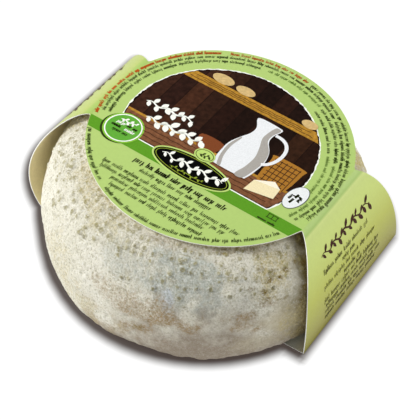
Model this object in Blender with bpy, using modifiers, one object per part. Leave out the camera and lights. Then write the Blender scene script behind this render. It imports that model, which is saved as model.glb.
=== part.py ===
# A small soft cheese wheel with a mould-ripened rind, in a wrap-round sleeve of printed card.
# Metres, +Z up. The origin is on the surface that the card stands on, under the middle of the
# whole thing. The sleeve's two side panels face +X and -X.

import math

import bmesh
import bpy
from mathutils import Vector, noise
from mathutils.geometry import interpolate_bezier

# The wheel of cheese
WHEEL_RADIUS = 0.085
WHEEL_HEIGHT = 0.0622
BELLY_HEIGHT = 0.0267       # the widest level
FACE_RADIUS = 0.049         # flat part of the upper face
FOOT_RADIUS = 0.0716        # flat part of the underside
SHOULDER_POWER = 1.95       # 2 is an ellipse, more is squarer
FOOT_POWER = 4.7
WHEEL_SHIFT = (-0.0026, -0.0085)  # its axis, from the middle of the sleeve's disc
WHEEL_STEPS = 96            # round the wheel, and down its outline:
FACE_STEPS = 4
SHOULDER_STEPS = 13
SIDE_STEPS = 12
ROUND_WIDTH = 0.02          # within this beyond the flat face the rind becomes uneven

# Uneven form of the wheel
WAVE_LENGTH = 0.042
WAVE_HEIGHT = 0.0008
KNOB_LENGTH = 0.013
KNOB_HEIGHT = 0.0005
FLAT_DIRECTION = math.radians(42)  # the wheel is flattened a little towards its far right side
FLAT_SPREAD = math.radians(30)
FLAT_DEPTH = 0.0016
LIP_LENGTH = 0.016          # crags along the rim of the foot
LIP_HEIGHT = 0.0008
LIP_LEVEL = 0.007           # they fade out by this height
LIP_BASE = 0.2              # share of the crags that is cut back and not added
PRESS_SOFTNESS = 0.0012     # how gently the cheese gives way where the card presses it

# The sleeve of card
CARD = 0.0005               # thickness
GAP = 0.0003                # between card and rind
DISC_RADIUS = 0.067
DISC_HEIGHT = 0.0629        # middle of the card's thickness at the disc's centre
DISC_SLOPE = (-0.058, -0.033)  # the disc leans down to +X and to +Y
NECK_HALF_WIDTH = 0.0244    # half of each panel's width where it meets the disc
FOOT_HALF_WIDTH = 0.0463    # half of each panel's width at the floor
FLARE = 2.0                 # how early a panel widens, 0 is evenly
DISC_STEPS = 34
PANEL_STEPS = 14
BOTTOM_STEPS = 4            # on each side of the seam
ACROSS_STEPS = 8

# Each side panel is one curve from the disc to its fold at the floor: how far it is pulled along
# its start and its end, the angles there above level (outwards), and where its fold lies.
# The right one is drawn tight over the shoulder, then hangs nearly straight. The left one is
# looser: it bulges out and tucks back under.
RIGHT_PANEL = {
    "side": 1, "top_pull": 0.0130, "top_rise": -0.275,
    "foot_pull": 0.0173, "foot_rise": 1.528, "fold_x": 0.0800,
}
LEFT_PANEL = {
    "side": -1, "top_pull": 0.0105, "top_rise": 0.298,
    "foot_pull": 0.0382, "foot_rise": 0.597, "fold_x": 0.0806,
}

# Where the middle of the disc stands in the part's own frame
DISC_PLACE = (0.0061, 0.0085)


def disc_level(x):
    """Height of the disc along its own X, at the middle of its width."""
    return DISC_HEIGHT + DISC_SLOPE[0] * x


def side_lean(y, z):
    """The disc's lean to +Y, which fades down the panels to nothing at the floor."""
    return DISC_SLOPE[1] * y * z / DISC_HEIGHT


def panel_line(side, top_pull, top_rise, foot_pull, foot_rise, fold_x):
    """Middle line of a side panel from the disc down to its fold, as (x, z, half width)."""
    neck_x = math.sqrt(DISC_RADIUS**2 - NECK_HALF_WIDTH**2)
    top = Vector((neck_x, disc_level(side * neck_x)))
    foot = Vector((fold_x, CARD / 2))
    top_handle = top + top_pull * Vector((math.cos(top_rise), math.sin(top_rise)))
    foot_handle = foot + foot_pull * Vector((math.cos(foot_rise), math.sin(foot_rise)))
    points = interpolate_bezier(top, top_handle, foot_handle, foot, PANEL_STEPS + 1)
    run = [0.0]
    for here, after in zip(points, points[1:]):
        run.append(run[-1] + (after - here).length)
    line = []
    for point, gone in zip(points, run):
        flare = (1 - math.exp(-FLARE * gone / run[-1])) / (1 - math.exp(-FLARE))
        half = NECK_HALF_WIDTH + (FOOT_HALF_WIDTH - NECK_HALF_WIDTH) * flare
        line.append((side * point.x, point.y, half))
    return line


def disc_line():
    """Across the disc from +X to -X. Equal steps of angle keep its edge round."""
    widest = math.acos(NECK_HALF_WIDTH / DISC_RADIUS)
    line = []
    for step in range(1, DISC_STEPS):
        angle = widest * (1 - 2 * step / DISC_STEPS)
        x = DISC_RADIUS * math.sin(angle)
        line.append((x, disc_level(x), DISC_RADIUS * math.cos(angle)))
    return line


def sleeve_line():
    """Once round the sleeve: floor, right panel, disc, left panel and floor again."""
    shares = [step / BOTTOM_STEPS for step in range(BOTTOM_STEPS)]
    out = [(RIGHT_PANEL["fold_x"] * share, CARD / 2, FOOT_HALF_WIDTH) for share in shares]
    back = [(-LEFT_PANEL["fold_x"] * share, CARD / 2, FOOT_HALF_WIDTH) for share in shares]
    return out + panel_line(**RIGHT_PANEL)[::-1] + disc_line() + panel_line(**LEFT_PANEL) + back[::-1]


def inner_reach():
    """The inner face of the sleeve, as (angle, distance) from a point inside the wheel."""
    line = [Vector((x, z)) for x, z, half in sleeve_line()[:-1]]
    reach = []
    for index, here in enumerate(line):
        along = line[(index + 1) % len(line)] - line[index - 1]
        inward = Vector((-along.y, along.x)).normalized()
        point = here + inward * (CARD / 2 + GAP) - Vector((0, BELLY_HEIGHT))
        reach.append((math.atan2(point.y, point.x), point.length))
    reach.sort()
    first, last = reach[0], reach[-1]
    return [(last[0] - 2 * math.pi, last[1])] + reach + [(first[0] + 2 * math.pi, first[1])]


def reach_at(reach, angle):
    """Distance to the sleeve at an angle, from the straight line between its two neighbours."""
    for (low, near), (high, far) in zip(reach, reach[1:]):
        if low <= angle <= high:
            a = near * Vector((math.cos(low), math.sin(low)))
            b = far * Vector((math.cos(high), math.sin(high)))
            ray = Vector((math.cos(angle), math.sin(angle)))
            return a.cross(b - a) / ray.cross(b - a)
    raise ValueError("the sleeve's line is open")


def lesser(a, b, softness):
    """The smaller of two lengths, with a rounded change from one to the other."""
    blend = max(softness - abs(a - b), 0) / softness
    return min(a, b) - blend * blend * softness / 4


def wheel_profile():
    """The wheel's outline from the middle of the upper face down to the middle of the foot."""
    upper, lower = WHEEL_HEIGHT - BELLY_HEIGHT, BELLY_HEIGHT - CARD - GAP
    outline = [(FACE_RADIUS * step / FACE_STEPS, WHEEL_HEIGHT) for step in range(FACE_STEPS)]
    for step in range(SHOULDER_STEPS):
        angle = math.pi / 2 * (1 - step / SHOULDER_STEPS)
        out = math.cos(angle) ** (2 / SHOULDER_POWER)
        up = math.sin(angle) ** (2 / SHOULDER_POWER)
        outline.append((FACE_RADIUS + (WHEEL_RADIUS - FACE_RADIUS) * out, BELLY_HEIGHT + upper * up))
    for step in range(SIDE_STEPS):
        angle = math.pi / 2 * step / SIDE_STEPS
        out = math.cos(angle) ** (2 / FOOT_POWER)
        down = math.sin(angle) ** (2 / FOOT_POWER)
        outline.append((FOOT_RADIUS + (WHEEL_RADIUS - FOOT_RADIUS) * out, BELLY_HEIGHT - lower * down))
    for step in range(FACE_STEPS, -1, -1):
        outline.append((FOOT_RADIUS * step / FACE_STEPS, BELLY_HEIGHT - lower))
    return outline


def smooth_step(value):
    value = min(max(value, 0), 1)
    return value * value * (3 - 2 * value)


def swelling(point):
    """How far the rind stands out at a point: waves, knobs, a flattened side and crags at the foot."""
    angle = math.atan2(point.y, point.x)
    flattened = FLAT_DEPTH * math.exp(-(((angle - FLAT_DIRECTION) / FLAT_SPREAD) ** 2))
    waves = WAVE_HEIGHT * noise.noise(point / WAVE_LENGTH)
    knobs = KNOB_HEIGHT * noise.noise(point / KNOB_LENGTH + Vector((7, 3, 5)))
    low = 1 - smooth_step(point.z / LIP_LEVEL)
    crag = abs(noise.noise(Vector((point.x, point.y, 0)).normalized() * WHEEL_RADIUS / LIP_LENGTH))
    return waves + knobs - flattened + LIP_HEIGHT * low * (crag - LIP_BASE)


def shape_wheel(mesh):
    """Makes the turned wheel uneven, leans its top with the disc and presses it into the sleeve."""
    reach = inner_reach()
    for vertex in mesh.vertices:
        point = vertex.co.copy()
        round_part = smooth_step((math.hypot(point.x, point.y) - FACE_RADIUS) / ROUND_WIDTH)
        outward = Vector((point.x, point.y, point.z - BELLY_HEIGHT)).normalized()
        point += outward * swelling(point) * round_part
        x, y = point.x + WHEEL_SHIFT[0], point.y + WHEEL_SHIFT[1]
        top = smooth_step((point.z - BELLY_HEIGHT) / (WHEEL_HEIGHT - BELLY_HEIGHT))
        z = point.z + top * (DISC_SLOPE[0] * x + DISC_SLOPE[1] * y) - side_lean(y, point.z)
        angle = math.atan2(z - BELLY_HEIGHT, x)
        pressed = lesser(math.hypot(x, z - BELLY_HEIGHT), reach_at(reach, angle), PRESS_SOFTNESS)
        x, z = pressed * math.cos(angle), BELLY_HEIGHT + pressed * math.sin(angle)
        vertex.co = (x - WHEEL_SHIFT[0], point.y, z + side_lean(y, z))


def material(name, colour, roughness):
    """A plain Principled material, with its colour in linear values."""
    made = bpy.data.materials.new(name)
    made.use_nodes = True
    shader = made.node_tree.nodes["Principled BSDF"]
    shader.inputs["Base Color"].default_value = (*colour, 1)
    shader.inputs["Roughness"].default_value = roughness
    shader.inputs["Metallic"].default_value = 0
    return made


def add_object(name, mesh, collection, parent, place):
    made = bpy.data.objects.new(name, mesh)
    collection.objects.link(made)
    made.parent = parent
    made.location = place
    return made


def make_wheel(collection, parent):
    """The cheese: a turned outline, which is then made uneven and pressed into the sleeve."""
    outline = wheel_profile()
    mesh = bpy.data.meshes.new("wheel_outline")
    edges = [(index, index + 1) for index in range(len(outline) - 1)]
    mesh.from_pydata([(radius, 0, height) for radius, height in outline], edges, [])
    turned = add_object("wheel_outline", mesh, collection, None, (0, 0, 0))
    screw = turned.modifiers.new("Turn", "SCREW")
    screw.steps = WHEEL_STEPS
    screw.render_steps = WHEEL_STEPS
    screw.use_merge_vertices = True
    screw.merge_threshold = 0.00001
    bpy.context.view_layer.update()
    whole = bpy.data.meshes.new_from_object(turned.evaluated_get(bpy.context.evaluated_depsgraph_get()))
    bpy.data.objects.remove(turned)
    shape_wheel(whole)
    whole.shade_smooth()
    whole.materials.append(material("mould_ripened_rind", (0.68, 0.63, 0.50), 0.85))
    return add_object("cheese_wheel", whole, collection, parent, (*WHEEL_SHIFT, 0))


def make_sleeve(collection, parent):
    """The card: a flat grid laid round the sleeve's line, closed at its seam under the wheel."""
    line = sleeve_line()
    line[-1] = line[0]
    grid = bmesh.new()
    bmesh.ops.create_grid(grid, x_segments=len(line) - 1, y_segments=ACROSS_STEPS, size=0.5)
    for vertex in grid.verts:
        x, z, half = line[round((vertex.co.x + 0.5) * (len(line) - 1))]
        y = 2 * vertex.co.y * half
        vertex.co = (x, y, z + side_lean(y, z - CARD / 2))
    bmesh.ops.remove_doubles(grid, verts=grid.verts, dist=0.00001)
    mesh = bpy.data.meshes.new("card_sleeve")
    grid.to_mesh(mesh)
    grid.free()
    mesh.shade_smooth()
    mesh.materials.append(material("coated_cartonboard", (0.48, 0.63, 0.21), 0.45))
    sleeve = add_object("card_sleeve", mesh, collection, parent, (0, 0, 0))
    wall = sleeve.modifiers.new("Card", "SOLIDIFY")
    wall.thickness = CARD
    wall.offset = 0
    wall.use_even_offset = True
    return sleeve


def build():
    for old in list(bpy.data.objects):
        bpy.data.objects.remove(old)
    collection = bpy.data.collections.new("cheese_in_sleeve")
    bpy.context.scene.collection.children.link(collection)
    place = bpy.data.objects.new("disc_axis", None)
    place.location = (*DISC_PLACE, 0)
    collection.objects.link(place)
    make_wheel(collection, place)
    make_sleeve(collection, place)


build()
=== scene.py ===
import math
import random
from bisect import bisect

import bmesh
import bpy
from mathutils import Matrix, Vector, noise
from mathutils.geometry import convex_hull_2d, interpolate_bezier


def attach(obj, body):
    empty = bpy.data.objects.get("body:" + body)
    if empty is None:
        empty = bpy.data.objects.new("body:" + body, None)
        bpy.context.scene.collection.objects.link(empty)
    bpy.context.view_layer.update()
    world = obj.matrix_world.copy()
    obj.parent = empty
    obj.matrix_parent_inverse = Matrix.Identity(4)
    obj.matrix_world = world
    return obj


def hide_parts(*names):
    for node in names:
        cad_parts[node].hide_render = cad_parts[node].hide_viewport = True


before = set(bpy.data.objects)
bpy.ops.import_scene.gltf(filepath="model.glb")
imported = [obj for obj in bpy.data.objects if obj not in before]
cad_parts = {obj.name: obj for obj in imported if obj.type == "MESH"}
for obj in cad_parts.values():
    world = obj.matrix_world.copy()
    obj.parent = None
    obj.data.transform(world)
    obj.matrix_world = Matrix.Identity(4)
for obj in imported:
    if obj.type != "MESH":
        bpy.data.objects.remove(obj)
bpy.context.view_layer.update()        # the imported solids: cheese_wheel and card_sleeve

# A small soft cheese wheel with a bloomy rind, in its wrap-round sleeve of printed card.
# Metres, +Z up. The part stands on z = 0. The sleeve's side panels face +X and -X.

mm = 0.001


# Small helpers

def linearColour(code):
    # an sRGB hex code as the linear colour that a shader takes
    values = [int(code[place:place + 2], 16) / 255 for place in (0, 2, 4)]
    return [c / 12.92 if c <= 0.04045 else ((c + 0.055) / 1.055) ** 2.4 for c in values] + [1]


def softStep(value):
    value = min(max(value, 0), 1)
    return value * value * (3 - 2 * value)


def softLesser(a, b, softness):
    # the smaller of two lengths, with a rounded change between them
    blend = max(softness - abs(a - b), 0) / softness
    return min(a, b) - blend * blend * softness / 4


def softGreater(a, b, softness):
    return -softLesser(-a, -b, softness)


def newMaterial(name):
    material = bpy.data.materials.new(name)
    material.use_nodes = True
    return material, material.node_tree.nodes["Principled BSDF"]


def setInputs(node, inputs):
    # an input is a fixed value or another node's output
    for socket, value in inputs.items():
        if isinstance(value, bpy.types.NodeSocket):
            node.id_data.links.new(value, node.inputs[socket])
        else:
            node.inputs[socket].default_value = value


def addNode(owner, kind, inputs, **settings):
    # adds a node with its settings and links to a material or the world
    node = owner.node_tree.nodes.new("ShaderNode" + kind)
    for setting, value in settings.items():
        setattr(node, setting, value)
    setInputs(node, inputs)
    return node


def finishPiece(name, shape, materials):
    # turns a bmesh into a piece that rides on the part's one body
    mesh = bpy.data.meshes.new(name)
    shape.to_mesh(mesh)
    shape.free()
    for material in materials:
        mesh.materials.append(material)
    piece = bpy.data.objects.new(name, mesh)
    bpy.context.scene.collection.objects.link(piece)
    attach(piece, "root")
    return piece


# The sleeve's shape. Its blank is flat card: u runs along it from the middle of the disc, positive
# to the right panel, and v runs across it. Laid round the wheel, v stays along Y.

sleeve = {
    "card": 0.5 * mm, "gap": 0.3 * mm,
    "discRadius": 67 * mm, "discHeight": 62.9 * mm, "discLean": (-0.058, -0.033),
    "discPlace": (6.1 * mm, 8.5 * mm),
    "neckHalf": 24.4 * mm, "neckFillet": 2.4 * mm, "footHalf": 46.3 * mm, "flare": 2.0,
    "discSteps": 40, "panelSteps": 56, "floorSteps": 8, "acrossSteps": 28,
    "right": {"topPull": 13.0 * mm, "topRise": -0.275,
              "footPull": 17.3 * mm, "footRise": 1.528, "foldX": 80.0 * mm},
    "left": {"topPull": 10.5 * mm, "topRise": 0.298,
             "footPull": 38.2 * mm, "footRise": 0.597, "foldX": 80.6 * mm},
}


def discLevel(x):
    return sleeve["discHeight"] + sleeve["discLean"][0] * x


def sideLean(y, z):
    # the disc's lean to +Y, which fades to nothing at the floor
    return sleeve["discLean"][1] * y * z / sleeve["discHeight"]


def sideLine(side):
    # middle of the card's thickness from the disc's centre out, down and under, as points (x, z)
    bend = sleeve["right"] if side > 0 else sleeve["left"]
    neckX = math.sqrt(sleeve["discRadius"]**2 - sleeve["neckHalf"]**2)
    widest = math.asin(neckX / sleeve["discRadius"])
    line = []
    for step in range(sleeve["discSteps"]):
        x = sleeve["discRadius"] * math.sin(widest * step / sleeve["discSteps"])
        line.append(Vector((x, discLevel(side * x))))
    top = Vector((neckX, discLevel(side * neckX)))
    foot = Vector((bend["foldX"], sleeve["card"] / 2))
    topHandle = top + bend["topPull"] * Vector((math.cos(bend["topRise"]), math.sin(bend["topRise"])))
    footHandle = foot + bend["footPull"] * Vector((math.cos(bend["footRise"]), math.sin(bend["footRise"])))
    line += interpolate_bezier(top, topHandle, footHandle, foot, sleeve["panelSteps"] + 1)
    for step in range(1, sleeve["floorSteps"] + 1):
        line.append(Vector((foot.x * (1 - step / sleeve["floorSteps"]), foot.y)))
    return line


def sidePath(side):
    # the same line with how far along the card it is, which way is out and half the card's width
    line = sideLine(side)
    before = [Vector((-line[1].x, discLevel(-side * line[1].x)))] + line[:-1]
    after = line[1:] + [line[-1] + line[-1] - line[-2]]
    runs = [0.0]
    for here, there in zip(line, line[1:]):
        runs.append(runs[-1] + (there - here).length)
    neckRun = runs[sleeve["discSteps"]]
    panelLength = runs[sleeve["discSteps"] + sleeve["panelSteps"]] - neckRun
    widening = (sleeve["footHalf"] - sleeve["neckHalf"]) / (1 - math.exp(-sleeve["flare"]))
    path = []
    for run, back, here, there in zip(runs, before, line, after):
        incoming, outgoing = (here - back).normalized(), (there - here).normalized()
        along = (incoming + outgoing).normalized()
        out = Vector((-along.y, along.x)) / along.dot(incoming)
        share = (run - neckRun) / panelLength
        if share < 0:
            panelHalf = sleeve["neckHalf"] + widening * sleeve["flare"] * share
        else:
            panelHalf = sleeve["neckHalf"] + widening * (1 - math.exp(-sleeve["flare"] * min(share, 1)))
        discHalf = math.sqrt(max(sleeve["discRadius"]**2 - run**2, 0))
        half = softGreater(discHalf, panelHalf, sleeve["neckFillet"])
        path.append((run, Vector((side * here.x, here.y)), Vector((side * out.x, out.y)), half))
    return path


paths = {side: sidePath(side) for side in (1, -1)}
runTables = {side: [row[0] for row in path] for side, path in paths.items()}


def blankRow(u):
    # the two rows of the path on either side of u, and the share from one to the other
    side = 1 if u >= 0 else -1
    runs = runTables[side]
    index = min(max(bisect(runs, abs(u)), 1), len(runs) - 1)
    low, high = paths[side][index - 1], paths[side][index]
    return low, high, (abs(u) - low[0]) / (high[0] - low[0])


def blankHalf(u):
    low, high, share = blankRow(u)
    return low[3] + (high[3] - low[3]) * share


def wrap(u, v, lift):
    # lays a place on the blank round the wheel, that far out from the middle of the card
    low, high, share = blankRow(u)
    middle = low[1].lerp(high[1], share)
    place = (low[1] + low[2] * lift).lerp(high[1] + high[2] * lift, share)
    lean = sideLean(v, middle.y - sleeve["card"] / 2)
    return Vector((place.x + sleeve["discPlace"][0], v + sleeve["discPlace"][1], place.y + lean))


# The wheel's shape, in the middle of its own axis. "face" and "foot" are the radii of the flat
# parts of its upper and lower face.

wheel = {
    "radius": 85 * mm, "height": 62.2 * mm, "belly": 26.7 * mm, "face": 49 * mm, "foot": 71.6 * mm,
    "shoulderPower": 1.95, "footPower": 4.7, "shift": (-2.6 * mm, -8.5 * mm),
    "cell": 0.72 * mm, "roundWidth": 20 * mm,
    "waveLength": 42 * mm, "waveHeight": 0.8 * mm, "knobLength": 13 * mm, "knobHeight": 0.5 * mm,
    # flattened sides: direction, spread and depth
    "flats": [(math.radians(42), math.radians(30), 1.6 * mm),
              (math.radians(-122), math.radians(34), 1.1 * mm)],
    "lipLength": 10 * mm, "lipHeight": 1.5 * mm, "lipLevel": 9 * mm, "lipBase": 0.2,
    "pressSoftness": 1.2 * mm,
}


def evenly(line, spacing):
    # points at equal distances along a line of points
    total = sum((b - a).length for a, b in zip(line, line[1:]))
    count = round(total / spacing)
    spaced, gone, target = [line[0]], 0.0, total / count
    for a, b in zip(line, line[1:]):
        length = (b - a).length
        while len(spaced) < count and gone + length >= target:
            spaced.append(a.lerp(b, (target - gone) / length))
            target += total / count
        gone += length
    return spaced + [line[-1]]


def rindOutline():
    # the turned outline, from the rim of the upper face down to the rim of the underside
    upper = (wheel["face"], wheel["shoulderPower"], wheel["height"] - wheel["belly"])
    lower = (wheel["foot"], wheel["footPower"], sleeve["card"] + sleeve["gap"] - wheel["belly"])
    steps, line = 400, []
    for step in range(-steps, steps + 1):
        angle = math.pi / 2 * abs(step) / steps
        rim, power, rise = upper if step < 0 else lower
        out = (wheel["radius"] - rim) * max(math.cos(angle), 0) ** (2 / power)
        line.append(Vector((rim + out, wheel["belly"] + rise * math.sin(angle) ** (2 / power))))
    return evenly(line, wheel["cell"])


def cardReach():
    # the sleeve's inner face, as angles and distances from a point inside the wheel
    depth = sleeve["card"] / 2 + sleeve["gap"]
    centre = Vector((0, wheel["belly"]))
    rows = [row for side in (1, -1) for row in paths[side][:-1]]
    places = [row[1] - row[2] * depth - centre for row in rows]
    reach = sorted((math.atan2(place.y, place.x), place.length) for place in places)
    first, last = reach[0], reach[-1]
    turn = 2 * math.pi
    return [(last[0] - turn, last[1])] + reach + [(first[0] + turn, first[1])]


reachRows = cardReach()
reachAngles = [row[0] for row in reachRows]


def reachAt(angle):
    index = min(max(bisect(reachAngles, angle), 1), len(reachRows) - 1)
    (low, near), (high, far) = reachRows[index - 1], reachRows[index]
    if high - low < 1e-9:
        return near
    a = near * Vector((math.cos(low), math.sin(low)))
    b = far * Vector((math.cos(high), math.sin(high)))
    ray = Vector((math.cos(angle), math.sin(angle)))
    return a.cross(b - a) / ray.cross(b - a)


def swelling(point):
    # the uneven form of the whole wheel: waves, knobs, flattened sides and crags at its foot
    angle = math.atan2(point.y, point.x)
    flattened = sum(depth * math.exp(-(((angle - direction) / spread) ** 2))
                    for direction, spread, depth in wheel["flats"])
    waves = wheel["waveHeight"] * noise.noise(point / wheel["waveLength"])
    knobs = wheel["knobHeight"] * noise.noise(point / wheel["knobLength"] + Vector((7, 3, 5)))
    low = 1 - softStep(point.z / wheel["lipLevel"])
    rim = Vector((point.x, point.y, 0)).normalized() * wheel["radius"] / wheel["lipLength"]
    crag = abs(noise.noise(rim)) - wheel["lipBase"]
    return waves + knobs - flattened + wheel["lipHeight"] * low * crag


def settle(point):
    # leans the wheel's top with the disc and presses it into the sleeve
    x, y = point.x + wheel["shift"][0], point.y + wheel["shift"][1]
    top = softStep((point.z - wheel["belly"]) / (wheel["height"] - wheel["belly"]))
    lean = top * (sleeve["discLean"][0] * x + sleeve["discLean"][1] * y)
    z = point.z + lean - sideLean(y, point.z) - wheel["belly"]
    angle = math.atan2(z, x)
    pressed = softLesser(math.hypot(x, z), reachAt(angle), wheel["pressSoftness"])
    x, z = pressed * math.cos(angle), wheel["belly"] + pressed * math.sin(angle)
    return Vector((x + sleeve["discPlace"][0], y + sleeve["discPlace"][1], z + sideLean(y, z)))


# The rind's fine relief: nubs left by the holes of the draining mould, felt, pits and a few creases.
# Places on the rind are the direction round the wheel's axis in degrees and the way down the rind
# from the rim of the upper face.

relief = {
    "nubPitch": 4.1 * mm, "nubRadius": (0.9 * mm, 1.5 * mm), "nubHeight": 0.9 * mm, "nubJitter": 0.3,
    "nubRows": 14, "nubSeed": 11,
    # most nubs show in this direction, this share of them on the far side, and they fade down the rind
    "nubSide": math.radians(-125), "nubLeast": 0.3, "nubReach": (12 * mm, 38 * mm), "nubOnset": 6,
    # in a nub's own radii: where its dome starts to fall and how far it falls; some are rings instead
    "nubDome": (0.3, 0.85), "nubRing": (0.75, 0.6), "nubRingShare": 0.4,
    "feltLength": 2.0 * mm, "feltHeight": 0.3 * mm,
    "crinkleLength": 4.6 * mm, "crinkleHeight": 0.4 * mm, "crinkleLevel": 0.4,
    "creaseWidth": 0.8 * mm, "creaseHeight": 0.35 * mm,
    # start and end of each crease of the draining cloth: direction, way down, direction, way down
    "creases": [(-81, 27 * mm, -75, 35 * mm), (-75, 35 * mm, -68, 45 * mm), (60, 30 * mm, 66, 45 * mm),
                (150, 52 * mm, 166, 46 * mm)],
}

# Where the rind's colour changes, and where shade is painted on it: direction in degrees, then in
# millimetres the way down, half its length along and half its height, then its strength
patches = {
    "straw": [(-118, 12, 40, 11, 0.6), (-119, 56, 14, 16, 0.5), (-103, 66, 20, 11, 0.55),
              (-29, 31, 12, 8, 0.75), (-33, 36, 9, 5, 0.7), (-24, 60, 12, 14, 0.5), (-27, 22, 12, 7, 0.75),
              (40, 16, 40, 10, 0.6), (45, 38, 12, 15, 0.95), (100, 60, 30, 10, 0.6),
              (150, 20, 36, 10, 0.6), (-165, 60, 20, 14, 0.6), (15, 64, 22, 12, 0.5)],
    "tan": [(-77, 45, 13, 7, 0.7), (-70, 50, 8, 5, 0.8), (-79, 60, 8, 4, 0.7), (-92, 70, 18, 5, 0.5),
            (-88, 44, 13, 6, 0.55), (-98, 60, 14, 5, 0.4), (-36, 42, 6, 2.5, 0.6), (-47, 47, 8, 2.5, 0.5),
            (-62, 51, 9, 4.5, 0.75), (-42, 47, 5, 2.6, 0.75), (-45, 53, 6, 3, 0.7), (-40, 57, 5, 2.4, 0.7),
            (-40, 13, 32, 3, 0.6), (-68, 12, 20, 3, 0.5), (35, 52, 14, 7, 0.7), (62, 46, 9, 5, 0.8),
            (95, 74, 22, 5, 0.6), (128, 44, 12, 6, 0.8), (170, 52, 12, 7, 0.7), (-150, 46, 8, 6, 0.6)],
    "olive": [(-25.7, 28.8, 2.6, 1.9, 0.95), (-28.7, 31, 2.8, 1.5, 1), (-33, 31, 2.2, 1.5, 0.9),
              (-30.5, 27, 2, 1.4, 0.7), (-35.8, 35.4, 2.4, 1.9, 0.95), (-40.1, 32.6, 3, 1.2, 0.85),
              (-35, 24.4, 2, 1.4, 0.6),
              (-18.6, 28.8, 2.6, 2, 0.8), (-21.5, 27.3, 2, 1.6, 0.9), (-20.9, 41.7, 1.6, 2.4, 0.8),
              (-34.5, 39.3, 5, 0.7, 0.7), (-29.9, 41.7, 4, 0.8, 0.7), (-38.1, 41, 4, 0.7, 0.6),
              (-68, 28.8, 4, 2, 0.5), (-79, 60, 3, 2, 0.6), (-26, 20, 3, 2, 0.6), (-47, 14, 3, 2, 0.6),
              (-52, 18, 2, 1.6, 0.7), (52, 30, 4, 2, 0.9), (57, 33, 3, 2, 0.8), (110, 36, 4, 2.4, 0.9),
              (140, 28, 3, 2, 0.8), (145, 32, 4, 2, 0.9), (175, 34, 4, 2, 0.8)],
    "grey": [(-63, 28, 26, 16, 1.0), (-42, 36, 16, 12, 0.45), (-85, 28, 18, 9, 0.65), (-60, 58, 30, 8, 0.5),
             (88, 36, 30, 13, 0.8), (150, 40, 26, 10, 0.6)],
    # the rind's own pinkish tone low on the wheel, darkened as painted shade all round the foot
    "roseAndPaintedLowShade": [(-58, 83, 48, 41, 1.0), (-33, 78, 26, 22, 0.9), (-88, 90, 34, 22, 1.0), (40, 84, 60, 24, 0.9),
             (110, 90, 60, 24, 0.9), (180, 92, 60, 22, 0.9), (-120, 94, 40, 18, 0.9)],
    "blue": [(-68.8, 37.5, 2.6, 5, 0.8), (-73, 34, 3, 2, 0.5), (85, 44, 3, 5, 0.8)],
    "cream": [(-30, 56, 14, 14, 0.95), (-38, 67, 16, 8, 0.7), (150, 60, 20, 12, 0.7)],
    # painted shade on the rind beside the sleeve's panels, where the card shades the wheel
    "paintedShade": [(-11, 20, 13, 14, 1.0), (-15.5, 35, 14.5, 15, 1.0), (-19, 50, 16, 18, 1.0),
             (-19, 68, 15.5, 18, 0.9), (33, 26, 26, 22, 0.6), (-163, 44, 9, 40, 0.5), (15, 44, 9, 40, 0.5),
             (164, 44, 9, 40, 0.6)],
}
# how a patch ends, in its own half sizes: it fades up to its edge, which noise shifts, and stops at its end
patchEdge = {"edge": 1.6, "fade": 1.2, "end": 2.2, "noises": [(0.9, 9 * mm), (0.4, 3 * mm)],
             # how far the edge of a smooth tone shifts, beside the others
             "shifts": {"roseAndPaintedLowShade": 0.35, "cream": 0.4, "paintedShade": 0.15}}
patchLayers = {"rindWarm": ("straw", "tan", "olive"), "rindCool": ("grey", "roseAndPaintedLowShade", "blue"),
               # the cream tone, and the painted shade beside the sleeve's panels
               "rindCreamAndPaintedShade": ("cream", "paintedShade")}


def nubField(runs, radii):
    # places of the nubs in rough rows round the shoulder and the side, keyed by row and column
    draw = random.Random(relief["nubSeed"])
    field = {}
    for row in range(relief["nubRows"]):
        run = relief["nubPitch"] * (row + 0.5)
        radius = radii[min(bisect(runs, run), len(radii) - 1)]
        count = round(2 * math.pi * radius / relief["nubPitch"])
        for column in range(count):
            jitter = [draw.uniform(-relief["nubJitter"], relief["nubJitter"]) for axis in (0, 1)]
            turn = (column + 0.5 * (row % 2) + jitter[0]) / count
            size = draw.uniform(*relief["nubRadius"])
            field[row, column] = (turn, run + jitter[1] * relief["nubPitch"], size, draw.random())
        field[row] = count
    return field


def nearestNub(field, turn, run, radius):
    # offset to the nearest nub along the rind and down it, in its own radii, and its chance number
    best = (9.0, 0.0, 0.0)
    middle = int(run / relief["nubPitch"])
    for row in (middle - 1, middle, middle + 1):
        count = field.get(row)
        if not count:
            continue
        column = int(turn * count - 0.5 * (row % 2))
        for near in (column - 1, column, column + 1):
            nubTurn, nubRun, size, chance = field[row, near % count]
            along = ((turn - nubTurn + 0.5) % 1 - 0.5) * 2 * math.pi * radius / size
            down = (run - nubRun) / size
            if along * along + down * down < best[0] * best[0] + best[1] * best[1]:
                best = (along, down, chance)
    return best


def nubShare(turn, run):
    # how many of the nubs show: most beside the disc on the near left, fewer down the side
    nearLeft = 0.5 + 0.5 * math.cos(turn * 2 * math.pi - relief["nubSide"])
    start, fade = relief["nubReach"]
    least = relief["nubLeast"]
    return (least + (1 - least) * nearLeft) * (1 - softStep((run - start) / fade))


def nubHeight(distance, chance, share):
    # how high a nub is, at a distance from its middle in its own radii: a dome, or a ring with a dip
    if chance < relief["nubRingShare"] * share:
        ring, width = relief["nubRing"]
        return softStep(1 - abs(distance - ring) / width)
    start, fall = relief["nubDome"]
    return 1 - softStep((distance - start) / fall)


def creaseHeight(place):
    # a rounded ridge along each crease, in coordinates along the rind and down it
    height = 0.0
    for startTurn, startRun, endTurn, endRun in relief["creases"]:
        start = Vector((math.radians(startTurn) * wheel["radius"], startRun))
        line = Vector((math.radians(endTurn) * wheel["radius"], endRun)) - start
        share = min(max((place - start).dot(line) / line.length_squared, 0), 1)
        away = (place - start - line * share).length / relief["creaseWidth"]
        if away < 1:
            height = max(height, softStep(1 - away) * math.sin(math.pi * min(max(share, 0.03), 0.97)))
    return height * relief["creaseHeight"]


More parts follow.
